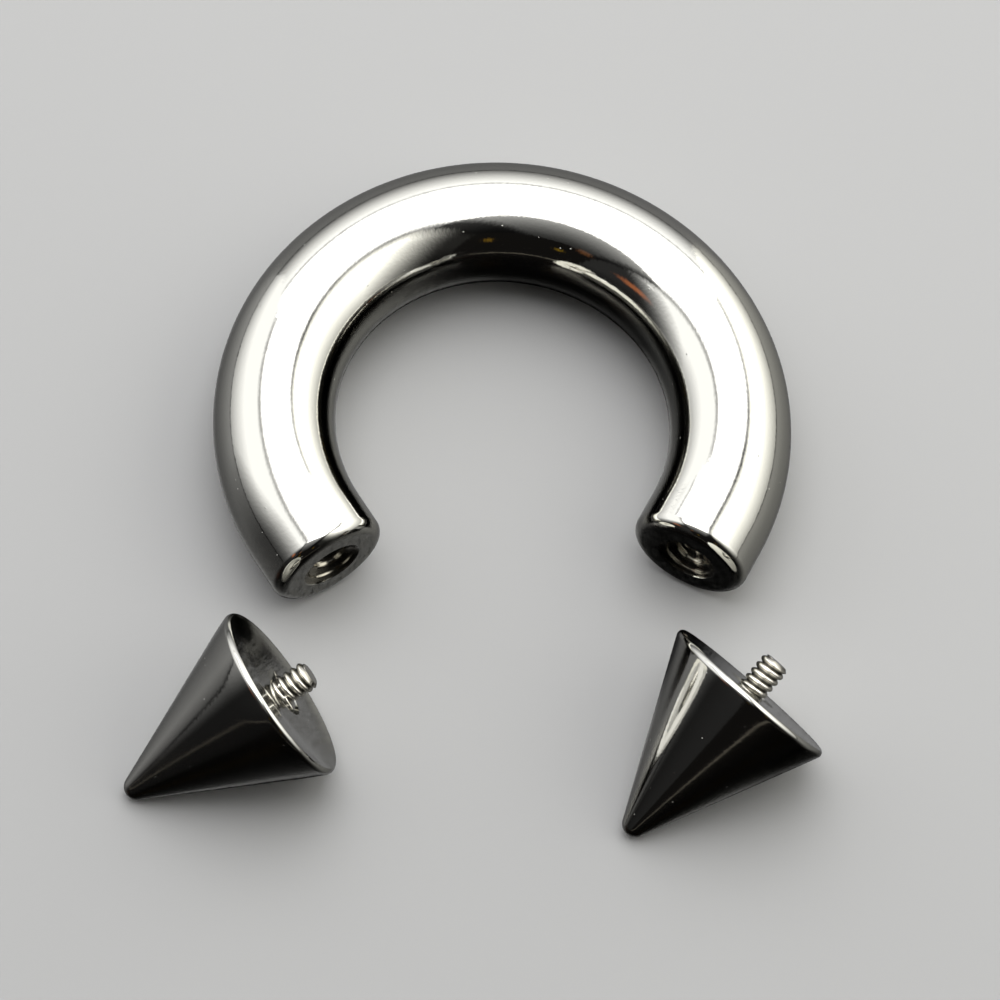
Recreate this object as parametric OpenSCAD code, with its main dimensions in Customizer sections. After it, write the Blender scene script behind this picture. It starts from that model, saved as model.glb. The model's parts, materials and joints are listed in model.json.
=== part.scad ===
// Horseshoe barbell lying on its side, with its two screw-in cones taken off and laid beside it.
// The bar is bent from one steel rod. Each cone is turned from steel and holds a threaded stud.
// Millimetres. The origin is the middle of the whole laid-out set, on the surface it lies on.
// +Z is up, and the open side of the horseshoe faces -Y.

/* [Bar] */
// Diameter of the bar
bar_d = 8; // [7:0.25:9]
// Inside diameter of the horseshoe
inner_d = 22; // [19:0.5:28]
// Angle that the bend turns through
bend_angle = 240; // [225:5:250]
// Straight length at each end, past the bend
tail_len = 3; // [2:0.25:5]
// Rounding of the edge of each end face
end_round = 0.8; // [0.3:0.1:1.2]

/* [Threads] */
// Diameter over the crests of the studs' thread
thread_d = 2; // [1.6:0.1:2.4]
// Distance from one crest to the next
thread_pitch = 0.5; // [0.35:0.05:0.55]
// Room between the studs' thread and the holes' thread, on the radius
thread_clear = 0.03; // [0.02:0.01:0.06]
// Depth of the threaded holes in the bar, from the end face
hole_depth = 5; // [4:0.5:7]
// Diameter of the countersunk mouth of the holes in the bar
bar_mouth_d = 4; // [3:0.1:4.4]
// Included angle of all countersunk mouths
mouth_angle = 100; // [80:5:120]
// Included angle of the drill point at the end of all holes
drill_angle = 118; // [110:1:140]

/* [Cones] */
// Widest diameter of a cone
cone_d = 12; // [10:0.25:14]
// Height of a cone, from its base to its tip
cone_h = 12.2; // [10:0.2:16]
// Rounding of the tip
tip_round = 0.85; // [0.4:0.05:1.2]
// Rounding of the widest edge
rim_round = 0.35; // [0.2:0.05:1.2]
// Slope at which that rounding meets the base, from the flat
rim_slope = 30; // [10:5:45]
// Diameter of the countersunk mouth round the stud
cone_mouth_d = 3.5; // [3:0.1:4.4]

/* [Studs] */
// Length of the left stud that stands out of its cone
left_stud_out = 2.1; // [1.5:0.1:3.5]
// Length of the right stud that stands out of its cone
right_stud_out = 2.4; // [1.5:0.1:3.5]
// Diameter of the plain shank of a stud, inside its cone
shank_d = 1.6; // [1.3:0.1:1.8]
// Depth that both studs go into their cones
stud_seat = 4.5; // [3:0.25:6]
// Room round the shank of a stud in its cone
seat_clear = 0.05; // [0.03:0.01:0.1]
// Chamfer at the tip of a stud
stud_chamfer = 0.25; // [0.1:0.05:0.35]

/* [How the cones lie] */
// Direction from the bar's left end to the left cone's base
left_bearing = 250.5; // [240:0.5:265]
// Direction from the bar's right end to the right cone's base
right_bearing = 289.25; // [280:0.25:300]
// Space beyond half a bar and half a cone, on the left
left_apart = 0; // [0:0.1:3]
// Space beyond half a bar and half a cone, on the right
right_apart = 0.5; // [0.3:0.1:3]
// Direction that the left cone's base faces
left_turn_angle = 25.2; // [15:0.2:35]
// Direction that the right cone's base faces
right_turn_angle = 43.5; // [35:0.5:55]

/* [Hidden] */
$fn = 96;

// Bar
bar_r = bar_d / 2;
bend_r = (inner_d + bar_d) / 2;
first_angle = 90 - bend_angle / 2;
end_x = bend_r * cos(first_angle) + tail_len * sin(first_angle);
end_y = bend_r * sin(first_angle) - tail_len * cos(first_angle);
// The tails are turned this little bit fuller than the bend, and lap over its ends
tail_proud = 0.01;
tail_lap = 0.3;

// Thread, in the proportions of a metric one
crest_r = thread_d / 2;
thread_depth = 0.6134 * thread_pitch;
stud_crest_r = crest_r - thread_clear;
stud_root_r = crest_r - thread_depth;
hole_crest_r = crest_r - thread_depth + thread_clear;
hole_root_r = crest_r;
shank_r = shank_d / 2;
seat_r = shank_r + seat_clear;

// Cone, in a plane through its axis: the base is at 0 and the tip at cone_h
cone_r = cone_d / 2;
rim_x = cone_r - rim_round;
rim_y = rim_round * cos(rim_slope);
tip_y = cone_h - tip_round;
half_angle = atan2(rim_x, tip_y - rim_y) + asin((rim_round - tip_round) / norm([rim_x, tip_y - rim_y]));
sharp_h = tip_y + tip_round / sin(half_angle);

// Middles of the two bases, seen from above, with the bend's middle at 0
left_base = base_at(-1, left_bearing, left_apart);
right_base = base_at(1, right_bearing, right_apart);

// Middle of the box round everything. The cones' tips and the right cone's rim reach furthest out
low_x = left_base.x - tip_y * flat_along(left_turn_angle).x - tip_round;
low_y = right_base.y - tip_y * flat_along(right_turn_angle).y - tip_round;
high_x = max(bend_r + bar_r, rim_reach(right_base, right_turn_angle));
high_y = bend_r + bar_r;
mid_x = (low_x + high_x) / 2;
mid_y = (low_y + high_y) / 2;

// How far a cut runs past the face that it opens
past = 0.2;

function base_at(side, bearing, apart) =
    [side * end_x, end_y] + (bar_r + cone_r + apart) * [cos(bearing), sin(bearing)];

// How far along X and Y one millimetre of a lying cone's axis goes
function flat_along(turn) = cos(half_angle) * [cos(turn), sin(turn)];

// How far towards +X the rounded rim of a lying cone goes
function rim_reach(base, turn) =
    base.x - rim_y * flat_along(turn).x + rim_x * sqrt(1 - pow(flat_along(turn).x, 2)) + rim_round;

function sink_depth(mouth_d, hole_r) = (mouth_d / 2 - hole_r) / tan(mouth_angle / 2);
function drill_depth(hole_r) = hole_r / tan(drill_angle / 2);

// Half outline of a run of thread, down from its top, as ridges and grooves one pitch apart
function thread_line(top, turns, ridge_r, groove_r, ridge_flat, groove_flat) = [
    for (i = [0 : turns - 1], corner = [0 : 3])
        let (flank = (1 - ridge_flat - groove_flat) / 2)
        let (along = [0, ridge_flat, ridge_flat + flank, 1 - flank][corner])
        [corner < 2 ? ridge_r : groove_r, top - (i + along) * thread_pitch]
];

// What a threaded hole with a countersunk mouth takes away, opening upwards at height 0
module threaded_hole_cut(depth, mouth_d) {
    sink = sink_depth(mouth_d, hole_root_r);
    turns = floor((depth - sink) / thread_pitch);
    slope = tan(mouth_angle / 2);
    rotate_extrude()
        polygon(concat(
            [[0, past], [mouth_d / 2 + past * slope, past], [hole_root_r, -sink]],
            thread_line(-sink, turns, hole_crest_r, hole_root_r, 1 / 4, 1 / 8),
            [[hole_crest_r, -sink - turns * thread_pitch], [hole_crest_r, -depth]],
            [[0, -depth - drill_depth(hole_crest_r)]]
        ));
}

// What the plain seat of a stud takes away, opening upwards at height 0
module seat_cut() {
    sink = sink_depth(cone_mouth_d, seat_r);
    slope = tan(mouth_angle / 2);
    bottom = stud_seat + seat_clear;
    rotate_extrude()
        polygon([
            [0, past],
            [cone_mouth_d / 2 + past * slope, past],
            [seat_r, -sink],
            [seat_r, -bottom],
            [0, -bottom - drill_depth(seat_r)]
        ]);
}

// Straight tail of the bar, with its rounded end face at height tail_len
module tail() {
    tail_r = bar_r + tail_proud;
    length = tail_lap + tail_len;
    translate([0, 0, -tail_lap])
        rotate_extrude() {
            square([tail_r, length - end_round]);
            square([tail_r - end_round, length]);
            intersection() {
                translate([tail_r - end_round, length - end_round]) circle(r = end_round);
                square([tail_r, length]);
            }
        }
}

// Puts its children on the end of the bend, upwards along the tail
module on_tail(side) {
    translate([side * bend_r * cos(first_angle), bend_r * sin(first_angle), 0])
        rotate([90, 0, side * first_angle]) children();
}

module horseshoe_bar() {
    color("#c8c9cc")
        translate([-mid_x, -mid_y, bar_r])
            difference() {
                union() {
                    rotate([0, 0, first_angle])
                        rotate_extrude(angle = bend_angle) translate([bend_r, 0]) circle(r = bar_r);
                    for (side = [-1, 1]) on_tail(side) tail();
                }
                for (side = [-1, 1])
                    on_tail(side)
                        translate([0, 0, tail_len]) threaded_hole_cut(hole_depth, bar_mouth_d);
            }
}

// Cone with its base at height 0, its stud's seat opening upwards and its tip pointing down
module cone_body() {
    slant = [cos(half_angle), sin(half_angle)];
    mirror([0, 0, 1])
        difference() {
            rotate_extrude()
                intersection() {
                    union() {
                        polygon([
                            [0, 0],
                            [rim_x + rim_round * sin(rim_slope), 0],
                            [rim_x, rim_y],
                            [rim_x, rim_y] + rim_round * slant,
                            [0, tip_y] + tip_round * slant,
                            [0, tip_y]
                        ]);
                        translate([rim_x, rim_y]) circle(r = rim_round);
                        translate([0, tip_y]) circle(r = tip_round);
                    }
                    square([cone_d, cone_h + cone_d]);
                }
            mirror([0, 0, 1]) seat_cut();
        }
}

// Stud that stands out of the base at height 0 by the length out. Its thread's last crest is above the base
module stud_body(out) {
    top = out - stud_chamfer;
    turns = ceil(top / thread_pitch);
    rotate_extrude()
        polygon(concat(
            [[0, out], [stud_crest_r - stud_chamfer, out]],
            thread_line(top, turns, stud_crest_r, stud_root_r, 1 / 8, 1 / 4),
            [[shank_r, top - turns * thread_pitch], [shank_r, -stud_seat], [0, -stud_seat]]
        ));
}

// Lays its children down on a cone's slanted side, with the middle of the base over the place given
module laid(base, turn) {
    rise = sharp_h * sin(half_angle);
    translate([base.x - mid_x, base.y - mid_y, rise])
        rotate([0, 90 - half_angle, turn]) children();
}

module left_cone() {
    color("#8d8e90") laid(left_base, left_turn_angle) cone_body();
}

module left_stud() {
    color("#b8b1a4") laid(left_base, left_turn_angle) stud_body(left_stud_out);
}

module right_cone() {
    color("#8d8e90") laid(right_base, right_turn_angle) cone_body();
}

module right_stud() {
    color("#b8b1a4") laid(right_base, right_turn_angle) stud_body(right_stud_out);
}

horseshoe_bar();
left_cone();
left_stud();
right_cone();
right_stud();
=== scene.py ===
# %% [markdown]
# # A horseshoe barbell with its two screw-in cones taken off
#
# The object is body jewellery in polished steel: a round bar bent to a horseshoe, with a threaded hole in
# each end, and two cones with threaded studs. They lie on a table, not screwed in.
#
# The CAD model comes in as a fixed frame. It is exact in size but plain: its threads are rings, and its
# surfaces are flat facets that a mirror finish would show at once. So each CAD solid is replaced by a finely
# divided mesh of the same size in the same place. Lengths are worked out in millimetres, as on a drawing,
# and turned to Blender's metres at the end of each piece.

# %% Load the CAD frame
import json
from math import asin, atan2, cos, degrees, hypot, pi, radians, sin, tan

import bmesh
import bpy
from mathutils import Matrix, Vector, noise


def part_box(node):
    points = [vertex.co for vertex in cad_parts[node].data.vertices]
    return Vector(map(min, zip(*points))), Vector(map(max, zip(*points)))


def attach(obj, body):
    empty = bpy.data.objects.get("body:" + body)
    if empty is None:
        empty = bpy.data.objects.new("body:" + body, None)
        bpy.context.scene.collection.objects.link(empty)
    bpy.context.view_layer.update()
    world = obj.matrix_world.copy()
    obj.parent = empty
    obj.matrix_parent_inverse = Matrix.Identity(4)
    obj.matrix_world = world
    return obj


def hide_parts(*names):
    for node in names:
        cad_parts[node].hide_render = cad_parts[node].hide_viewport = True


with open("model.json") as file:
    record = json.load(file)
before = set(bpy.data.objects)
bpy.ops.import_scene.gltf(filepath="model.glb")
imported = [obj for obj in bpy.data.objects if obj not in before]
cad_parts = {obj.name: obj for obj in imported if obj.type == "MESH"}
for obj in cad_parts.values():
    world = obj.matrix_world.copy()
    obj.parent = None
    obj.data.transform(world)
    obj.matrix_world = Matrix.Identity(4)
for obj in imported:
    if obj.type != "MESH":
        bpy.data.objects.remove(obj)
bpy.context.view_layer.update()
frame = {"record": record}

scene = bpy.context.scene
MM = 0.001


def in_mm(point):
    """A point in metres as rounded millimetres, for printing."""
    return [round(v / MM, 2) for v in point]


# %% [markdown]
# ## Where everything lies
#
# A piece could be fitted by eye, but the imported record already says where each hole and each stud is, and
# which way it points. The bend's middle comes from the bar's box. A cone's base is found on its stud's axis,
# at the height that a cone of this shape has when it lies on its slanted side.
#
# A place is a 4 by 4 matrix. A part is turned round the Z axis, where the sums are easy, and its place then
# carries it to where it lies.

# %% The bar's places
BAR_R = 4.0
# The bend's radius, to the middle of the rod
BEND_R = 15.0
BEND_ANGLE = 240.0

low, high = (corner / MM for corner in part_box("horseshoe_bar"))
bend_centre = Vector(((low.x + high.x) / 2, high.y - BEND_R - BAR_R, BAR_R))


def end_place(side):
    """Puts the Z axis on the straight tail of one end, starting where the bend stops. side is -1 or 1."""
    first = radians(90 - BEND_ANGLE / 2)
    start = Vector((side * BEND_R * cos(first), BEND_R * sin(first), 0))
    turn = Matrix.Rotation(side * first, 4, "Z") @ Matrix.Rotation(pi / 2, 4, "X")
    return Matrix.Translation(bend_centre + start) @ turn


print("The bend's middle is at", [round(v, 2) for v in bend_centre], "mm")

# %% The cones' places
CONE_R = 6.0
CONE_H = 12.2
TIP_ROUND, RIM_ROUND = 0.85, 0.35
# Where the rim's rounding meets the base, it slopes by this many degrees
RIM_SLOPE = 30.0

rim_x = CONE_R - RIM_ROUND
rim_y = RIM_ROUND * cos(radians(RIM_SLOPE))
tip_y = CONE_H - TIP_ROUND
half_angle = atan2(rim_x, tip_y - rim_y) + asin((RIM_ROUND - TIP_ROUND) / hypot(rim_x, tip_y - rim_y))
base_height = (tip_y + TIP_ROUND / sin(half_angle)) * sin(half_angle)
mounts = {m["name"]: m for m in frame["record"]["mounts"]}


def cone_place(side_name):
    """Puts the Z axis on a lying cone's axis, with the stud upwards and the base at height 0."""
    mount = mounts[side_name + "_stud_thread"]
    axis = Vector(mount["axis"])
    point = Vector(mount["pos_m"]) / MM
    base = point - axis * ((point.z - base_height) / axis.z)
    turn = Matrix.Rotation(atan2(axis.y, axis.x), 4, "Z") @ Matrix.Rotation(pi / 2 - half_angle, 4, "Y")
    return Matrix.Translation(base) @ turn


print(f"A cone widens by {degrees(half_angle):.2f} degrees, and its base's middle is {base_height:.3f} mm up")
for side_name in ("left", "right"):
    base = cone_place(side_name).translation
    print(side_name, "cone's base is centred at", [round(v, 3) for v in base], "mm")

# %% [markdown]
# ## Turned shapes
#
# Everything here except the bend was turned on a lathe. So one helper takes half an outline and spins it
# round the Z axis. A spun outline is the same all round, and a thread isn't. So the thread is cut afterwards,
# as on the real piece: each point is moved in or out by an amount that depends on its height and its angle.
#
# An outline is a list of (radius, height) points. A mirror finish shows every jump in the shading, so a
# rounding gets many points, and a flat gets a ring close to each of its edges, which keeps it flat there.

# %% Arcs and walls of an outline
# The furthest that two rings on a straight wall are apart
WALL_STEP = 0.6


def arc(centre_r, centre_h, radius, start, end, steps):
    """Points of an arc in a plane through the axis. The angles are in degrees."""
    angles = [radians(start + (end - start) * i / steps) for i in range(steps + 1)]
    return [(centre_r + radius * cos(a), centre_h + radius * sin(a)) for a in angles]


def climb(radius, start, end, step):
    """Points up or down a straight wall, about as far apart as step."""
    count = max(1, round(abs(end - start) / step))
    return [(radius, start + (end - start) * i / count) for i in range(count + 1)]


print("A quarter round of 1 mm in 2 steps:", [(round(r, 2), round(h, 2)) for r, h in arc(0, 0, 1, 0, 90, 2)])

# %% Spin an outline round the axis
ROUND = 128
# Points nearer than this become one, and points nearer to the axis than this aren't moved by a cut
ONE_POINT = 0.0001
ON_AXIS = 0.001


def turned(bm, outline, cut=None):
    """Spins an outline round the Z axis, and returns the new points. cut gives a point its new radius."""
    before = set(bm.verts)
    verts = [bm.verts.new((radius, 0, height)) for radius, height in outline]
    edges = [bm.edges.new(pair) for pair in zip(verts, verts[1:])]
    bmesh.ops.spin(
        bm, geom=verts + edges, cent=(0, 0, 0), axis=(0, 0, 1), angle=2 * pi, steps=ROUND, use_merge=True
    )
    fresh = [v for v in bm.verts if v not in before]
    bmesh.ops.remove_doubles(bm, verts=fresh, dist=ONE_POINT)
    fresh = [v for v in bm.verts if v not in before]
    if cut:
        for v in fresh:
            radius = hypot(v.co.x, v.co.y)
            if radius > ON_AXIS:
                share = cut(radius, v.co.z, atan2(v.co.y, v.co.x)) / radius
                v.co = (v.co.x * share, v.co.y * share, v.co.z)
    return fresh


print(f"A turned shape has {ROUND} points round it, one every {360 / ROUND:.2f} degrees")

# %% Make an object, and finish a piece
WELD = 0.0002


def to_object(bm, name):
    """Turns a finished bmesh into an object of the scene."""
    mesh = bpy.data.meshes.new(name)
    bm.to_mesh(mesh)
    bm.free()
    made = bpy.data.objects.new(name, mesh)
    scene.collection.objects.link(made)
    return made


def finish_piece(bm, name, node):
    """Closes the mesh, turns it to metres and hangs it on the frame in place of its CAD node."""
    bmesh.ops.remove_doubles(bm, verts=bm.verts, dist=WELD)
    bmesh.ops.recalc_face_normals(bm, faces=bm.faces)
    bmesh.ops.scale(bm, vec=(MM, MM, MM), verts=bm.verts)
    for face in bm.faces:
        face.smooth = True
    open_edges = sum(1 for e in bm.edges if len(e.link_faces) != 2)
    piece = to_object(bm, name)
    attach(piece, "root")
    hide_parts(node)
    piece.data.calc_loop_triangles()
    print(f"{name}: {len(piece.data.loop_triangles)} triangles, {open_edges} open edges")
    return piece


print("Parts of a piece are welded where their points are within", WELD, "mm of each other")

# %% [markdown]
# ## The threads
#
# A real thread is one ridge that winds round and round. The CAD has plain rings in its place, because exact
# helical solids are slow and fragile. Here the winding is made for real: the ridge's height at any point
# depends on how far up the point is and on its angle, so that one turn climbs by one pitch. Adding the angle
# with a minus sign gives a right-handed screw. The ridge is rounded over, because the photograph shows soft,
# worn crests with two glints on each.

# %% The winding ridge
PITCH = 0.5
STUD_CREST_R, STUD_ROOT_R = 0.97, 0.693
HOLE_CREST_R, HOLE_ROOT_R = 0.723, 1.0


def ridge(height, angle, sharpness):
    """0 in the groove and 1 on the crest of a right-handed thread. A low sharpness makes a broad crest."""
    wave = cos(2 * pi * (height / PITCH - angle / (2 * pi)))
    return max(0.0, 0.5 + 0.5 * wave) ** sharpness


def fade(value, start, end):
    """Goes smoothly from 0 at start to 1 at end."""
    t = min(1.0, max(0.0, (value - start) / (end - start)))
    return t * t * (3 - 2 * t)


on_crest = ridge(PITCH / 4, pi / 2, 1.0)
print(f"A quarter turn on and a quarter pitch up, the ridge still has {on_crest:.0%} of its height")

# %% [markdown]
# ## The bar
#
# The real bar is a length of round rod, faced and tapped at both ends and then bent. A circle swept along a
# curve would do for the bend, but it gives no say over the ends. So each end is turned as a part of its own:
# a straight tail, a rounded edge, a flat face, a countersunk mouth and the threaded hole. The bend is a spin
# of the tail's first circle, which meets the other tail exactly, and the three parts are merged.
#
# The photograph shows bright crescents in the dark mouths. They are the first turns of the thread, which
# reach up into the countersink. So the ridges start there, low at first. The mouth's edge is rounded by a few
# hundredths of a millimetre, which draws the thin bright circle round it.

# %% The outline of an end
TAIL_LENGTH = 3.0
END_ROUND = 0.8
HOLE_DEPTH = 5.0
BAR_MOUTH_R = 2.0
# The mouth's edge is rounded by this much, round a circle a little wider than the mouth
MOUTH_EDGE = 0.06
mouth_edge_r = BAR_MOUTH_R + 0.1
# How much narrower a countersink and a drill's point get for each millimetre down
MOUTH_SLOPE = tan(radians(50))
DRILL_SLOPE = tan(radians(59))
# The last ring of the rod's wall is this near to the rounded edge
WALL_GAP = 0.05
# The flat face has a ring this near to each of its edges, and one about halfway between them
FACE_GAP = 0.04
FACE_MIDDLE_R = 2.7
ROUNDING_STEPS = 20
SMALL_STEPS = 4
# Rings lie close together down to the depth that can be seen
SEEN_DEPTH = 2.6
FINE_STEP, COARSE_STEP = 0.022, PITCH / 8


def end_outline():
    """From the tail's start, over the rounded edge and the flat face, and down to the drill's point."""
    face_r = BAR_R - END_ROUND
    line = climb(BAR_R, 0, TAIL_LENGTH - END_ROUND - WALL_GAP, WALL_STEP)
    line += arc(face_r, TAIL_LENGTH - END_ROUND, END_ROUND, 0, 90, ROUNDING_STEPS)
    line += [(r, TAIL_LENGTH) for r in (face_r - FACE_GAP, FACE_MIDDLE_R, mouth_edge_r + FACE_GAP)]
    line += arc(mouth_edge_r, TAIL_LENGTH - MOUTH_EDGE, MOUTH_EDGE, 90, 140, SMALL_STEPS)
    sink_r, sink_h = line[-1]
    height = sink_h
    while height > TAIL_LENGTH - HOLE_DEPTH:
        height -= FINE_STEP if TAIL_LENGTH - height < SEEN_DEPTH else COARSE_STEP
        line.append((max(sink_r - (sink_h - height) * MOUTH_SLOPE, HOLE_CREST_R), height))
    line.append((0, height - HOLE_CREST_R / DRILL_SLOPE))
    return line


print("An end's outline has", len(end_outline()), "points")

# %% The thread in an end's hole
HOLE_SHARPNESS = 0.9
# How far the ridges stand out of the countersink's slope
SINK_RIDGE = 0.13
# Depths: where cutting starts, where the ridges rise, and where the thread dies out above the drill's point
CUT_FROM = 0.05
RIDGES_RISE = (0.08, 0.28)
THREAD_END = (4.2, 4.6)


def tap(radius, height, angle):
    """Cuts the hole's thread into every ring that lies inside the mouth, and lets its ridges fade in."""
    depth = TAIL_LENGTH - height
    if radius > BAR_MOUTH_R or depth < CUT_FROM:
        return radius
    here = ridge(height, angle, HOLE_SHARPNESS)
    groove = HOLE_ROOT_R + (HOLE_CREST_R - HOLE_ROOT_R) * here
    if radius > groove:
        return radius - SINK_RIDGE * fade(depth, *RIDGES_RISE) * here
    return radius + (groove - radius) * (1 - fade(depth, *THREAD_END))


for depth in (1.5, 1.75, 2.0):
    wall_r = tap(HOLE_CREST_R, TAIL_LENGTH - depth, 0.0)
    print(f"{depth} mm deep, on one side, the hole is {wall_r:.3f} mm in radius")

# %% Turn one end
# A face counts as in the mouth up to this far outside its edge, and from this far below the end's flat
MOUTH_MARGIN = 0.03


def bar_end(side):
    """One end in its place. Its faces inside the mouth take the second material, the tapped steel."""
    bm = bmesh.new()
    turned(bm, end_outline(), tap)
    for face in bm.faces:
        middle = face.calc_center_median()
        near_axis = hypot(middle.x, middle.y) < BAR_MOUTH_R + MOUTH_MARGIN
        face.material_index = 1 if near_axis and middle.z < TAIL_LENGTH - MOUTH_MARGIN else 0
    bmesh.ops.transform(bm, matrix=end_place(side), verts=bm.verts)
    return bm


ends = [bar_end(side) for side in (1, -1)]
print("The two ends have", [len(end.faces) for end in ends], "faces")

# %% Spin the bend and put the ends on
BEND_STEPS = 216


def add_to(whole, part):
    """Adds a part's mesh to the whole. Small parts are quicker to make by themselves."""
    mesh = bpy.data.meshes.new("part")
    part.to_mesh(mesh)
    part.free()
    whole.from_mesh(mesh)
    bpy.data.meshes.remove(mesh)


bm = bmesh.new()
circle = bmesh.ops.create_circle(bm, segments=ROUND, radius=BAR_R)["verts"]
bmesh.ops.transform(bm, matrix=end_place(1), verts=circle)
bmesh.ops.spin(
    bm,
    geom=bm.edges[:],
    cent=bend_centre,
    axis=(0, 0, 1),
    angle=radians(BEND_ANGLE),
    steps=BEND_STEPS,
    use_merge=False,
)
for end in ends:
    add_to(bm, end)
bar = finish_piece(bm, "polished_bar", "horseshoe_bar")

# %% [markdown]
# ## The cones
#
# Each cone was turned from steel rod: a flat base with a countersunk seat for the stud, a slightly rounded
# widest edge, a straight slant and a small rounded tip. Its outline is drawn with the base at height 0 and
# the tip pointing down, and then the whole thing is laid on its slant. Both cones are the same part.
#
# A buffing wheel always takes a little more off near an edge. The photograph shows it: reflections along the
# slant bend over in the last millimetres before the base. So the slant turns in there by a few degrees. No
# two pieces are buffed alike, and the right cone has lost less than the left one.

# %% The outline of a cone's base
CONE_MOUTH_R = 1.75
SEAT_R = 0.85
STUD_SEAT = 4.5
SEAT_CLEAR = 0.05
# The mouth's edge is rounded by this much, round a circle a little wider than the mouth
SEAT_EDGE = 0.05
seat_edge_r = CONE_MOUTH_R + 0.03
# The flat of the base has a ring about this near to each of its edges, and one about halfway between them
BASE_GAP = 0.12
BASE_MIDDLE_R = 3.4
# There are rings this far below the countersink's foot, and this far inside its mouth
FOOT_GAP = 0.02
SINK_GAP = 0.3


def base_outline():
    """From the bottom of the stud's seat up to its mouth, and out over the flat of the base."""
    seat_depth = (CONE_MOUTH_R - SEAT_R) / MOUTH_SLOPE
    bottom = -STUD_SEAT - SEAT_CLEAR
    line = [(share * SEAT_R, bottom - SEAT_R * (1 - share) / DRILL_SLOPE) for share in (0, 0.5)]
    line += climb(SEAT_R, bottom, -seat_depth - FOOT_GAP, WALL_STEP)
    line += [(SEAT_R, -seat_depth), (CONE_MOUTH_R - SINK_GAP, -SINK_GAP / MOUTH_SLOPE)]
    line += arc(seat_edge_r, -SEAT_EDGE, SEAT_EDGE, 140, 90, SMALL_STEPS)
    flat_end = rim_x + RIM_ROUND * sin(radians(RIM_SLOPE))
    return line + [(r, 0) for r in (CONE_MOUTH_R + BASE_GAP, BASE_MIDDLE_R, flat_end - BASE_GAP)]


print("The outline of a cone's base has", len(base_outline()), "points")

# %% The outline of a cone
RIM_STEPS, WORN_STEPS, SLANT_STEPS, TIP_STEPS = 24, 12, 36, 16
# The rim's arc starts a little before it leaves the base
rim_start = 90 - RIM_SLOPE + 5


def cone_outline(worn_length, worn_turn):
    """The base, round the rim and down to the tip.

    The slant is worn over the length given in millimetres, by up to the angle given in degrees.
    """
    slant = degrees(half_angle)
    out = Vector((cos(half_angle), -sin(half_angle)))
    down = Vector((-sin(half_angle), -cos(half_angle)))
    worn = worn_length * radians(worn_turn) / 2
    rim = Vector((rim_x, -rim_y))
    line = base_outline() + arc(*(rim - out * worn), RIM_ROUND, rim_start, worn_turn - slant, RIM_STEPS)
    for i in range(1, WORN_STEPS + 1):
        t = i / WORN_STEPS
        line.append(tuple(rim + out * RIM_ROUND + down * worn_length * t - out * worn * (1 - t) ** 2))
    slant_top = line[-1]
    tip = arc(0, -tip_y, TIP_ROUND, -slant, -90, TIP_STEPS)
    for i in range(1, SLANT_STEPS):
        t = i / SLANT_STEPS
        line.append(tuple(a + (b - a) * t for a, b in zip(slant_top, tip[0])))
    return line + tip[:-1] + [(0, -CONE_H)]


# The length in millimetres and the angle in degrees of the buffing at each cone's widest edge
WORN = {"left": (1.6, 3.0), "right": (0.7, 1.2)}
for side_name, worn in WORN.items():
    widest = max(r for r, h in cone_outline(*worn))
    print(f"The {side_name} cone is {2 * widest:.3f} mm wide after buffing")

# %% Turn the cones
cones = {}
for side_name in ("left", "right"):
    bm = bmesh.new()
    turned(bm, cone_outline(*WORN[side_name]))
    bmesh.ops.transform(bm, matrix=cone_place(side_name), verts=bm.verts)
    cones[side_name] = finish_piece(bm, side_name + "_polished_cone", side_name + "_cone")

# %% [markdown]
# ## The studs
#
# A stud is a short threaded pin that is fixed in its cone. Its tip is flat with a chamfer that runs into the
# first ridge. At the foot the thread runs out into the plain shank, down in the countersunk recess. Both
# are cut with the same ridge function as the holes, only outwards.
#
# A die tears the steel a little where it stops. On the left stud a ragged burr stands out on two sides, just
# above the base, and the right one has only a trace of it. The burr is part of the cut: it is strongest in
# two opposite directions, and a smooth noise makes its edge uneven.

# %% The outline of a stud
SHANK_R = 0.8
STUD_CHAMFER = 0.25
STUD_OUT = {"left": 2.1, "right": 2.4}
# From this height up the rings lie close together, for the thread
THREAD_FOOT = -1.0
RINGS_PER_TURN = 24
# How far the thread's first ring is above that height, and its last ring below the tip
FIRST_GAP = 0.02
TIP_GAP = 0.01
# The tip's flat has a ring this far inside its edge, and each flat has one at this share of its radius
TIP_RING = 0.05
FLAT_RING = 0.6
# The furthest that two rings on the plain shank are apart
SHANK_STEP = 0.5


def stud_outline(out):
    """From the shank's hidden end up to the flat tip."""
    line = [(0, -STUD_SEAT), (SHANK_R * FLAT_RING, -STUD_SEAT)]
    line += climb(SHANK_R, -STUD_SEAT, THREAD_FOOT, SHANK_STEP)
    line += climb(SHANK_R, THREAD_FOOT + FIRST_GAP, out - TIP_GAP, PITCH / RINGS_PER_TURN)
    flat_r = STUD_CREST_R - STUD_CHAMFER
    return line + [(flat_r - TIP_RING, out), (flat_r * FLAT_RING, out), (0, out)]


for side_name, out in STUD_OUT.items():
    print(f"The {side_name} stud stands out {out} mm, and its outline has {len(stud_outline(out))} points")

# %% The burr
# About how far each burr stands out where it is strongest, in millimetres
TORN = {"left": 0.5, "right": 0.05}
# Heights over the base between which it starts, and between which it ends
BURR_START = (0.0, 0.08)
BURR_END = (0.12, 0.24)
# How fast the noise changes round the stud and up it
WAVES_ROUND, WAVES_UP = 2.5, 4
# The two spikes' turn in radians, and the shares of spikes, noise and an even trace in the burr
SPIKE_TURN = 0.2
SPIKES, UNEVEN, TRACE = 0.95, 0.8, 0.05


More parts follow.
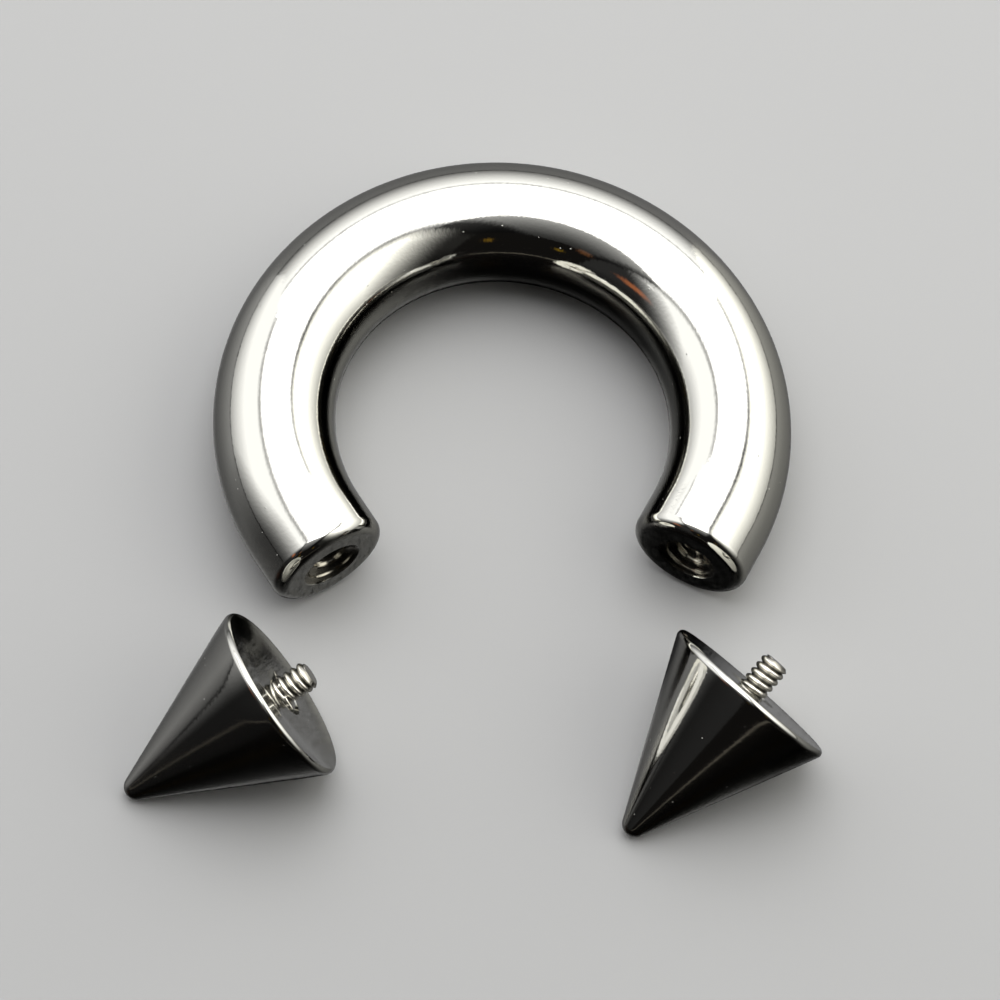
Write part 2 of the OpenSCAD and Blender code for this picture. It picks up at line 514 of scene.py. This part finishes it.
def burr(height, angle):
    """How far the burr stands out at a point: 0 where there is none, and about 1 where it is strongest."""
    uneven = noise.noise(Vector((WAVES_ROUND * cos(angle), WAVES_ROUND * sin(angle), height * WAVES_UP)))
    ragged = SPIKES * abs(sin(angle + SPIKE_TURN)) ** 6 + UNEVEN * uneven + TRACE
    return max(0.0, ragged) * fade(height, *BURR_START) * (1 - fade(height, *BURR_END))


for side_name, torn in TORN.items():
    reach = torn * max(burr(0.1, radians(angle)) for angle in range(360))
    print(f"The {side_name} stud's burr stands out {reach:.2f} mm")

# %% The thread on a stud
STUD_SHARPNESS = 0.36
# Heights over the base: where cutting starts, and where the thread rises out of the plain shank
CUT_FOOT = -0.9
RUN_OUT = (-0.5, -0.15)


def thread(out, torn):
    """The cut of one stud's thread. torn is how far a burr on it sticks out, in millimetres."""

    def cut(radius, height, angle):
        if height < CUT_FOOT or height > out - TIP_GAP / 2:
            return radius
        crest = STUD_ROOT_R + (STUD_CREST_R - STUD_ROOT_R) * ridge(height - out, angle, STUD_SHARPNESS)
        shaped = SHANK_R + (crest - SHANK_R) * fade(height, *RUN_OUT)
        chamfer = STUD_CREST_R - STUD_CHAMFER + (out - height)
        return min(shaped + torn * burr(height, angle), chamfer)

    return cut


for height in (1.0, 1.25, 1.5):
    print(f"{height} mm up, on one side, a stud is {thread(2.0, 0.0)(SHANK_R, height, 0.0):.3f} mm in radius")

# %% Turn the studs
studs = {}
for side_name, torn in TORN.items():
    out = STUD_OUT[side_name]
    bm = bmesh.new()
    # Each point keeps how deep in the groove it lies, from 0 to 1, for the steel's colour, which paints shade
    # into the grooves and a highlight on the crests
    groove = bm.verts.layers.float.new("groove")
    for v in turned(bm, stud_outline(out), thread(out, torn)):
        depth = (STUD_CREST_R - hypot(v.co.x, v.co.y)) / (STUD_CREST_R - STUD_ROOT_R)
        v[groove] = min(1.0, max(0.0, depth)) if v.co.z < out - TIP_GAP * 2 else 0.0
    bmesh.ops.transform(bm, matrix=cone_place(side_name), verts=bm.verts)
    studs[side_name] = finish_piece(bm, side_name + "_threaded_stud", side_name + "_stud")

# %% [markdown]
# ## Steel, four ways
#
# All the pieces are stainless steel, but the real ones show four finishes: the bar's mirror, the cones'
# slightly softer mirror, the holes as the tap left them and the studs as the die left them. On top of that,
# the colours of the cones, the holes and the studs carry painted shade, and the studs' crests carry a painted
# highlight.
#
# Colours are given as the hex codes of a paint program and turned to the linear numbers that Blender works
# with. One small helper adds a node, sets it up and links it. Pattern sizes are given in millimetres.

# %% Helpers for materials
def linear(hex_code):
    """A #rrggbb colour as linear red, green, blue and alpha."""
    parts = [int(hex_code[i : i + 2], 16) / 255 for i in (1, 3, 5)]
    return tuple(p / 12.92 if p <= 0.04045 else ((p + 0.055) / 1.055) ** 2.4 for p in parts) + (1.0,)


def add(tree, kind, inputs=None, **settings):
    """Adds a node. settings are its own, and inputs are values or other nodes' outputs for its sockets."""
    node = tree.nodes.new(kind)
    for name, value in settings.items():
        setattr(node, name, value)
    for name, value in (inputs or {}).items():
        if isinstance(value, bpy.types.NodeSocket):
            tree.links.new(value, node.inputs[name])
        else:
            node.inputs[name].default_value = value
    return node


def new_material(name):
    """An empty material and its node tree."""
    material = bpy.data.materials.new(name)
    material.use_nodes = True
    material.node_tree.nodes.clear()
    return material, material.node_tree


print("A paint program's mid grey, #808080, is", round(linear("#808080")[0], 3), "of white in linear light")

# %% Helpers for marks and bumps
def scale_for(size_mm):
    """A texture's scale on coordinates in metres, for marks of this size."""
    return 1 / (size_mm * MM)


def marks(tree, where, size_mm, detail):
    """A cloudy pattern from 0 to 1, with marks of the size given in millimetres."""
    inputs = {"Vector": where, "Scale": scale_for(size_mm), "Detail": detail}
    return add(tree, "ShaderNodeTexNoise", inputs).outputs["Fac"]


def stretch(tree, value, low, high, to_low=0.0, to_high=1.0, **settings):
    """Makes what lies between low and high run from to_low to to_high."""
    inputs = {"Value": value, "From Min": low, "From Max": high, "To Min": to_low, "To Max": to_high}
    return add(tree, "ShaderNodeMapRange", inputs, **settings).outputs["Result"]


def times(tree, one, other):
    """One value or pattern multiplied by another."""
    return add(tree, "ShaderNodeMath", {0: one, 1: other}, operation="MULTIPLY").outputs[0]


def measure(tree, operation, *vectors):
    """A number worked out from vectors, such as their distance."""
    inputs = dict(enumerate(vectors))
    return add(tree, "ShaderNodeVectorMath", inputs, operation=operation).outputs["Value"]


def bump_of(tree, height, depth_mm, under=None):
    """Bumps of the depth given in millimetres, on top of other bumps if under gives them."""
    inputs = {"Height": height, "Strength": 1.0, "Distance": depth_mm * MM}
    if under is not None:
        inputs["Normal"] = under
    return add(tree, "ShaderNodeBump", inputs).outputs["Normal"]


print("Marks of 0.24 mm need a texture scale of", round(scale_for(0.24)))

# %% Helpers for steel
def two_tones(tree, share, first, second):
    """From the first colour to the second. Sockets 6 and 7 are a Mix node's colours, and 2 is its result."""
    inputs = {"Factor": share, 6: linear(first), 7: linear(second)}
    return add(tree, "ShaderNodeMix", inputs, data_type="RGBA").outputs[2]


def steel_surface(tree, colour, roughness, normal):
    """Ends a material as bare metal. Each value is a number for the shader, or a pattern."""
    inputs = {"Base Color": colour, "Metallic": 1.0, "Roughness": roughness, "Normal": normal}
    steel = add(tree, "ShaderNodeBsdfPrincipled", inputs)
    add(tree, "ShaderNodeOutputMaterial", {"Surface": steel.outputs["BSDF"]})


print("Metallic 1.0 makes a surface reflect as bare metal does, in its own colour")

# %% [markdown]
# ### Mirror-polished stainless steel
#
# The bar was buffed to a mirror. Three things still tell it from glass: the buffing leaves a very shallow
# orange peel, which makes the edges of reflections slightly grainy, the haze of the polish varies a little
# from place to place, and a few tiny pits stay where the steel had specks in it. All are far too small for
# real geometry, so they go into the bump and the roughness.
#
# Real peel also has finer marks than these. From here they would be smaller than a pixel, so the peel is
# drawn as coarse as the photograph shows it. A cone is harder to hold to the wheel than a bar, so the cones
# are a little hazier. Their colour is also a little darker than the bar's, as painted shade.

# %% Pits that the polish leaves
PIT_SPACING = 0.8
PIT_DEPTH = 0.03
# How far a pit's floor and its edge are from its middle, as shares of the spacing
PIT_FLOOR, PIT_EDGE = 0.03, 0.07
SHARE_WITHOUT = 0.5


def pitted(tree, where, under):
    """Scatters a few tiny pits on top of a bump. Each catches the light as a bright fleck."""
    cells = add(tree, "ShaderNodeTexVoronoi", {"Vector": where, "Scale": scale_for(PIT_SPACING)})
    hollow = stretch(tree, cells.outputs["Distance"], PIT_FLOOR, PIT_EDGE, 1.0, 0.0)
    pick = add(tree, "ShaderNodeSeparateColor", {"Color": cells.outputs["Color"]}).outputs["Red"]
    chosen = add(tree, "ShaderNodeMath", {0: pick, 1: SHARE_WITHOUT}, operation="GREATER_THAN").outputs[0]
    return bump_of(tree, times(tree, hollow, chosen), PIT_DEPTH, under)


print("A pit is", round(2 * PIT_EDGE * PIT_SPACING, 2), "mm wide")

# %% The steel of the bar and of the cones
# Nearly all of a noise pattern lies between these
NOISE_RANGE = (0.3, 0.7)


def mirror_polished(name, colour, haze_mm, haze, peel_mm, peel_detail, peel_depth):
    """Bright steel with sharp, very slightly grainy reflections. haze is the range of the roughness."""
    material, tree = new_material(name)
    where = add(tree, "ShaderNodeTexCoord").outputs["Object"]
    roughness = stretch(tree, marks(tree, where, haze_mm, detail=3.0), *NOISE_RANGE, *haze)
    peel = bump_of(tree, marks(tree, where, peel_mm, peel_detail), peel_depth)
    steel_surface(tree, linear(colour), roughness, pitted(tree, where, peel))
    print(f"{name}: the peel is {peel_mm} mm across and {peel_depth} mm deep, and the roughness is {haze}")
    return material


# The bar goes almost white where it sees the tent, with crisp edges between light and dark
bar_steel = mirror_polished(
    "mirror_polished_stainless_steel",
    "#CBCAC4",
    haze_mm=3.5,
    haze=(0.04, 0.09),
    peel_mm=0.24,
    peel_detail=2.0,
    peel_depth=0.003,
)
# The cones' colour is a shade darker than the bar's, as painted shade, and their reflections have softer
# edges
cone_steel = mirror_polished(
    "mirror_polished_cone_steel_painted_darker",
    "#C0BFBA",
    haze_mm=2.5,
    haze=(0.05, 0.1),
    peel_mm=0.25,
    peel_detail=3.0,
    peel_depth=0.0021,
)

# %% [markdown]
# ### Steel as the tap and the die left it, with painted shade and painted highlight
#
# Nobody polishes a thread. A tap leaves the holes dull and a little brown, with fine chatter marks. Their
# colour is also darker than the bar's, as painted shade in the holes, so they look dark and their ridges
# gleam softly. The studs' colour is light on the crests and nearly black in the grooves: a painted highlight
# on the crests and painted shade in the grooves. A plain colour can't tell a crest from a groove, so the
# stud's mesh says how deep each point lies, and the colour follows that.

# %% The tapped holes' steel
CHATTER = 0.12
CHATTER_DEPTH = 0.003

# Dull, warm grey metal, darker than the bar's as painted shade in the holes, whose chatter marks break a
# reflection into short soft streaks
tapped_steel, tree = new_material("tapped_steel_with_painted_hole_shade")
where = add(tree, "ShaderNodeTexCoord").outputs["Object"]
chatter = marks(tree, where, CHATTER, detail=3.0)
tone = two_tones(tree, chatter, "#7C786E", "#B0AB9F")
steel_surface(tree, tone, roughness=0.15, normal=bump_of(tree, chatter, CHATTER_DEPTH))
print("The holes' chatter marks are", CHATTER, "mm long and", CHATTER_DEPTH, "mm deep")

# %% The studs' steel
TEAR = 0.12
TEAR_DEPTH = 0.003

# A painted highlight on the warm crests and painted shade in the nearly black grooves, with a slightly torn
# surface
stud_steel, tree = new_material("threaded_steel_with_painted_crest_light_and_groove_shade")
where = add(tree, "ShaderNodeTexCoord").outputs["Object"]
groove_shade_mask = add(tree, "ShaderNodeAttribute", attribute_name="groove").outputs["Fac"]
tone = two_tones(tree, groove_shade_mask, "#E2DFD6", "#3C382F")
torn_marks = marks(tree, where, TEAR, detail=3.0)
steel_surface(tree, tone, roughness=0.13, normal=bump_of(tree, torn_marks, TEAR_DEPTH))
print("The studs' torn marks are", TEAR, "mm long and", TEAR_DEPTH, "mm deep")

# %% Put the finishes on
bar.data.materials.append(bar_steel)
bar.data.materials.append(tapped_steel)
for side_name in ("left", "right"):
    cones[side_name].data.materials.append(cone_steel)
    studs[side_name].data.materials.append(stud_steel)
for piece in (bar, *cones.values(), *studs.values()):
    print(piece.name, "has", [material.name for material in piece.data.materials])

# %% [markdown]
# ## The camera
#
# The camera looks down steeply from the open side, a little from the left, and is tilted a little sideways,
# as a hand-held one is. Its place, lens and tilt were found by fitting the outlines of the bar and its ends.
# It has a long lens, which keeps the near cones from looking too big.

# %% The camera
LENS = 152.6
SENSOR = 36.0
DISTANCE = 275.99
NEAREST, FURTHEST = 10.0, 20000.0
# Where the camera looks, in millimetres from the bend's middle
AIM = Vector((-0.43, -5.63, 0.0))
# Degrees round the object to the left, down from the level, and sideways
TO_LEFT, DOWN, TILT = 9.12, 64.55, 7.4

round_object = Matrix.Rotation(radians(-TO_LEFT), 4, "Z") @ Matrix.Rotation(radians(-DOWN), 4, "X")
back = round_object @ Vector((0, -1, 0))
turn = (-back).to_track_quat("-Z", "Y").to_matrix().to_4x4() @ Matrix.Rotation(radians(TILT), 4, "Z")
camera = bpy.data.objects.new("camera", bpy.data.cameras.new("camera"))
camera.data.lens = LENS
camera.data.sensor_width = SENSOR
camera.data.clip_start = NEAREST * MM
camera.data.clip_end = FURTHEST * MM
camera.matrix_world = Matrix.Translation((bend_centre + AIM + back * DISTANCE) * MM) @ turn
scene.collection.objects.link(camera)
scene.camera = camera
print("The camera stands at", in_mm(camera.matrix_world.translation), "mm")

# %% [markdown]
# ## The table
#
# The table is a pale, matt card. Polished steel on it would go pale underneath, and the real cones are nearly
# black there. So the card is hidden from reflections, and the steel sees a dark satin sheet in its place. The
# bar and a cone shade the table near them, so the sheet has three darker spots. Its grain breaks up what it
# reflects of the tent. It is coarser than a real table's, so that it still shows in the steel.

# %% Helpers for the stage
# Half the side of the table, in millimetres
TABLE_HALF = 3000.0
# What is switched off for a thing that is there only for the steel to reflect
REFLECTED_ONLY = ("visible_camera", "visible_diffuse", "visible_shadow")


def on_stage(bm, name, material, switched_off):
    """Makes an object that isn't part of the barbell. switched_off names the rays that don't see it."""
    sheet = to_object(bm, name)
    sheet.data.materials.append(material)
    for setting in switched_off:
        setattr(sheet, setting, False)
    print(f"{name}: faces {len(sheet.data.polygons)}, material {material.name}")


def flat_sheet(name, below, material, switched_off):
    """A square sheet, a little below the surface that everything stands on. below is in millimetres."""
    bm = bmesh.new()
    bmesh.ops.create_grid(bm, x_segments=1, y_segments=1, size=TABLE_HALF * MM)
    bmesh.ops.translate(bm, verts=bm.verts, vec=(0, 0, -below * MM))
    on_stage(bm, name, material, switched_off)


print("The table is", 2 * TABLE_HALF * MM, "m square")

# %% The pale card
# Matt card with hardly any shine, on which only soft shadows show
pale_card, tree = new_material("pale_table_card")
inputs = {"Base Color": linear("#A0A0A0"), "Roughness": 0.9, "Specular IOR Level": 0.1}
surface = add(tree, "ShaderNodeBsdfPrincipled", inputs)
add(tree, "ShaderNodeOutputMaterial", {"Surface": surface.outputs["BSDF"]})
flat_sheet("pale_table", 0.02, pale_card, ("visible_glossy",))

# %% The dark sheet for reflections
# The shaded spots: right of the bend's middle, behind it, and how far each reaches, in millimetres
SPOTS = ((5, 10, 10), (10, -13, 7), (22, -29, 8))
# A spot is darkest within this share of its reach, and keeps this share of the light there
SPOT_CORE = 0.45
SPOT_LIGHT = 0.12
SHEEN = 0.68
GRAIN = 0.5
GRAIN_DEPTH = 0.05

# Dark satin is nearly black, with broad, soft and grainy highlights
dark_satin, tree = new_material("dark_satin_sheet")
where = add(tree, "ShaderNodeTexCoord").outputs["Object"]
shade = 1.0
for x, y, reach in SPOTS:
    spot = Vector((bend_centre.x + x, bend_centre.y + y, 0)) * MM
    away = measure(tree, "DISTANCE", where, spot)
    shade = times(tree, stretch(tree, away, SPOT_CORE * reach * MM, reach * MM, SPOT_LIGHT), shade)
inputs = {
    "Base Color": times(tree, shade, linear("#202020")[0]),
    "Roughness": 0.27,
    "IOR": 1.55,
    "Specular IOR Level": times(tree, shade, SHEEN),
    "Normal": bump_of(tree, marks(tree, where, GRAIN, detail=2.0), GRAIN_DEPTH),
}
surface = add(tree, "ShaderNodeBsdfPrincipled", inputs)
add(tree, "ShaderNodeOutputMaterial", {"Surface": surface.outputs["BSDF"]})
flat_sheet("dark_sheet_for_reflections", 0.03, dark_satin, REFLECTED_ONLY)

# %% [markdown]
# ## The light tent
#
# Polished steel has hardly any look of its own: it shows what stands round it. Small shiny things are
# photographed in a tent of white cloth that is open only towards the camera, and so is this one. Lamps would
# give a mirror only small hot spots, so each wall of the tent is a glowing sheet instead. Where two sheets
# meet, both get darker towards the seam, and that gives the fine grey lines along the bar. The dark open
# front gives the black band inside the bend. The sheets are hidden from the camera itself.
#
# The tent's corners and fades were worked back from the photograph: a point on a round bar that shows an edge
# of light says in which direction that edge lies.

# %% Helpers for the tent
# The tent's height in millimetres. Places in it are shares of this, from the table below the bend's middle
TENT = 500.0
tent_middle = Vector((bend_centre.x, bend_centre.y, 0)) * MM


def glow_surface(tree, colour, level):
    """Ends a material as a light of its own."""
    light = add(tree, "ShaderNodeEmission", {"Color": linear(colour), "Strength": level})
    add(tree, "ShaderNodeOutputMaterial", {"Surface": light.outputs["Emission"]})


def tent_cloth(name, strength, fades, colour):
    """Cloth that glows, and fades out. Each fade is (direction, where dark, where full, least, power)."""
    cloth, tree = new_material(name)
    where = add(tree, "ShaderNodeTexCoord").outputs["Object"]
    level = strength
    for direction, dark, full, least, power in fades:
        along = Vector(direction).normalized()
        place = add(tree, "ShaderNodeVectorMath", {0: where, 1: tent_middle}, operation="SUBTRACT").outputs[0]
        far = measure(tree, "DOT_PRODUCT", place, along)
        share = stretch(tree, far, dark * TENT * MM, full * TENT * MM)
        curve = add(tree, "ShaderNodeMath", {0: share, 1: power}, operation="POWER").outputs[0]
        level = times(tree, stretch(tree, curve, 0.0, 1.0, least), level)
    glow_surface(tree, colour, level)
    return cloth


def tent_sheet(name, rows, strength, fades, colour="#FFFFFF"):
    """A glowing sheet between two rows of points."""
    bm = bmesh.new()
    lines = [[bm.verts.new(Vector(p) * TENT * MM + tent_middle) for p in row] for row in rows]
    for i in range(len(lines[0]) - 1):
        bm.faces.new((lines[0][i], lines[0][i + 1], lines[1][i + 1], lines[1][i]))
    on_stage(bm, name, tent_cloth(name + "_glow", strength, fades, colour), ("visible_camera",))


print("The tent is", TENT, "mm high, round", in_mm(tent_middle), "mm")

# %% The tent's ceiling
# The ceiling's left and right edges, from the back to the front
left_top = [(-0.48, 0.82, 1), (-0.74, -0.09, 1), (-0.89, -0.6, 1), (-1.03, -1.1, 1)]
right_top = [(0.59, 0.85, 1), (0.63, 0.35, 1), (0.36, -0.2, 1), (0.3, -1.1, 1)]
# Square to the open front's edge, pointing to the back
FROM_FRONT = (0.255, 0.967, 0)

# The first three fades darken it towards the open front, the fourth the left edge, and the last two the
# right edge and its front part
ceiling_fades = [
    (FROM_FRONT, -0.26, -0.2, 0.15, 1.0),
    (FROM_FRONT, -1.0, -0.24, 0.16, 2.3),
    (FROM_FRONT, -1.15, -0.75, 0.4, 1.0),
    ((0.961, -0.276, 0), -0.687, -0.54, 0.14, 1.5),
    ((-1, 0, 0), -0.63, -0.47, 0.1, 1.5),
    ((-0.9, 0.44, 0), -0.412, -0.27, 0.1, 1.5),
]
tent_sheet("tent_ceiling", [left_top, right_top], strength=3.9, fades=ceiling_fades)

# %% The tent's walls
# Where the side walls stand on the table, and the fold that runs across the back wall
left_foot = [(-0.62, 0.92, 0.01), (-0.66, 0.0, 0.01), (-0.7, -0.5, 0.01), (-0.7, -1.1, 0.01)]
right_foot = [(0.6, 0.92, 0.01), (0.6, 0.35, 0.01), (0.6, -0.3, 0.01), (0.6, -1.1, 0.01)]
back_fold = [(-0.57, 0.89, 0.69), (0.6, 0.89, 0.69)]
FROM_TABLE, FROM_CEILING = (0, 0, 1), (0, 0, -1)

# A wall darkens towards its seams and the table, and a side wall towards the front as well
right_fades = [
    ((0, 1, 0), -0.9, -0.2, 0.01, 3.0),
    (FROM_CEILING, -1.0, -0.8, 0.24, 1.0),
    (FROM_TABLE, 0, 0.45, 0.22, 1.0),
]
left_fades = [
    ((0, 0.95, 0.3), -0.22, 0.19, 0.02, 2.0),
    (FROM_CEILING, -1.0, -0.84, 0.36, 1.0),
    (FROM_TABLE, 0, 0.35, 0.35, 1.0),
]
back_top_fades = [(FROM_TABLE, 0.69, 0.75, 0.25, 1.0)]
back_fades = [(FROM_CEILING, -0.69, -0.63, 0.35, 1.0), (FROM_TABLE, 0, 0.62, 0.08, 1.0)]
tent_sheet("tent_right", [right_top, right_foot], strength=2.6, fades=right_fades, colour="#FFFEF8")
tent_sheet("tent_left", [left_top, left_foot], strength=1.7, fades=left_fades)
tent_sheet("tent_back_top", [[left_top[0], right_top[0]], back_fold], strength=2.6, fades=back_top_fades)
tent_sheet("tent_back", [back_fold, [left_foot[0], right_foot[0]]], strength=1.85, fades=back_fades)

# %% [markdown]
# ## Small things in the dark room
#
# The black band inside the bend isn't quite black: it has faint brown and gold glints and one white one,
# from small things that stand before the tent. Each is a card that glows softly from its middle outwards. A
# card that only glows would be a dark square against a light wall, so it also lets through what is behind.

# %% Soft glowing cards
CARD_DISTANCE = TENT * 0.55
# The glow ends at 1, the card's edge, and is full inside this share of the way out
CARD_CORE = 0.2


def toward(azimuth, elevation):
    """The direction that is turned by azimuth from +X and raised by elevation, in degrees."""
    turn, rise = radians(azimuth), radians(elevation)
    return Vector((cos(rise) * cos(turn), cos(rise) * sin(turn), sin(rise)))


def card_glow(name, strength, colour):
    """A soft round glow on a card that is otherwise clear."""
    glow, tree = new_material(name)
    where = add(tree, "ShaderNodeTexCoord").outputs["UV"]
    spread = add(tree, "ShaderNodeMapping", {"Vector": where, "Location": (-1, -1, 0), "Scale": (2, 2, 1)})
    far = measure(tree, "LENGTH", spread.outputs["Vector"])
    level = times(tree, stretch(tree, far, 1.0, CARD_CORE, interpolation_type="SMOOTHSTEP"), strength)
    light = add(tree, "ShaderNodeEmission", {"Color": linear(colour), "Strength": level})
    clear = add(tree, "ShaderNodeBsdfTransparent")
    both = add(tree, "ShaderNodeAddShader", {0: light.outputs["Emission"], 1: clear.outputs["BSDF"]})
    add(tree, "ShaderNodeOutputMaterial", {"Surface": both.outputs["Shader"]})
    return glow


print("The cards stand", CARD_DISTANCE, "mm from the bend's middle")

# %% Put the cards up
def card(name, azimuth, elevation, wide, tall, strength, colour):
    """A glowing card in the direction given in degrees, with its width and height in degrees too."""
    bm = bmesh.new()
    bm.loops.layers.uv.new("across")
    bmesh.ops.create_grid(bm, x_segments=1, y_segments=1, size=1, calc_uvs=True)
    half_wide, half_tall = (CARD_DISTANCE * tan(radians(size / 2)) for size in (wide, tall))
    bmesh.ops.scale(bm, vec=(half_wide, half_tall, 1), verts=bm.verts)
    turn = Matrix.Rotation(radians(azimuth + 90), 4, "Z") @ Matrix.Rotation(radians(90 - elevation), 4, "X")
    middle = bend_centre + toward(azimuth, elevation) * CARD_DISTANCE
    place = Matrix.Scale(MM, 4) @ Matrix.Translation(middle) @ turn
    bmesh.ops.transform(bm, matrix=place, verts=bm.verts)
    on_stage(bm, name, card_glow(name + "_glow", strength, colour), REFLECTED_ONLY)


# Name, azimuth, elevation, width, height, strength and colour of each card
CARDS = (
    ("warm_card_low", 205, 26, 24, 12, 0.75, "#C8713C"),
    ("warm_card_high", 232, 36, 9, 12, 0.25, "#C08050"),
    ("gold_card_left", 245, 25, 5, 9, 0.35, "#C8A020"),
    ("gold_card_front", -81, 28, 5, 12, 0.3, "#C89B28"),
    ("white_card", 193, 47, 4, 3, 1.2, "#FFFFFF"),
)
for row in CARDS:
    card(*row)

# %% [markdown]
# ## The table's far edge and the room
#
# Along each cone runs a thin, grainy, light line. It is the reflection of the table's edge far in front,
# where the light just grazes it. A low, curved strip with a patchy glow stands in for it. It is a circle of
# edges that is extruded upwards, and its back part is cut off. The patches are far coarser than a real
# table's grain, because only their blur can be seen.
#
# The room itself is nearly black, which leaves the black of the photograph black. The Standard view keeps
# the light parts as hard and white as in the photograph.

# %% The lit far edge of the table
EDGE_R = TENT * 1.2
EDGE_HEIGHT = TENT * 0.035
EDGE_BACK = TENT * -0.2
EDGE_SEGMENTS = 96
EDGE_GRAIN = 0.9
# The part of the pattern that makes the patches, and how strongly they glow
PATCHES = (0.42, 0.62)
PATCH_GLOW = (0.02, 0.24)

edge_glow, tree = new_material("far_edge_glow")
where = add(tree, "ShaderNodeTexCoord").outputs["Object"]
patches = stretch(tree, marks(tree, where, EDGE_GRAIN, detail=2.0), *PATCHES, *PATCH_GLOW)
glow_surface(tree, "#FFF4E0", patches)
bm = bmesh.new()
bmesh.ops.create_circle(bm, segments=EDGE_SEGMENTS, radius=EDGE_R)
walls = bmesh.ops.extrude_edge_only(bm, edges=bm.edges[:])["geom"]
upper = [v for v in walls if isinstance(v, bmesh.types.BMVert)]
bmesh.ops.translate(bm, verts=upper, vec=(0, 0, EDGE_HEIGHT))
bmesh.ops.delete(bm, geom=[v for v in bm.verts if v.co.y > EDGE_BACK], context="VERTS")
bmesh.ops.scale(bm, vec=(MM, MM, MM), verts=bm.verts)
on_stage(bm, "far_table_edge", edge_glow, REFLECTED_ONLY)

# %% The room
ROOM = linear("#171615")
scene.world = bpy.data.worlds.new("dim_room")
scene.world.use_nodes = True
scene.world.node_tree.nodes["Background"].inputs["Color"].default_value = ROOM
scene.view_settings.view_transform = "Standard"
print(f"The room's light is {ROOM[0]:.4f} of white, in the {scene.view_settings.view_transform} view")
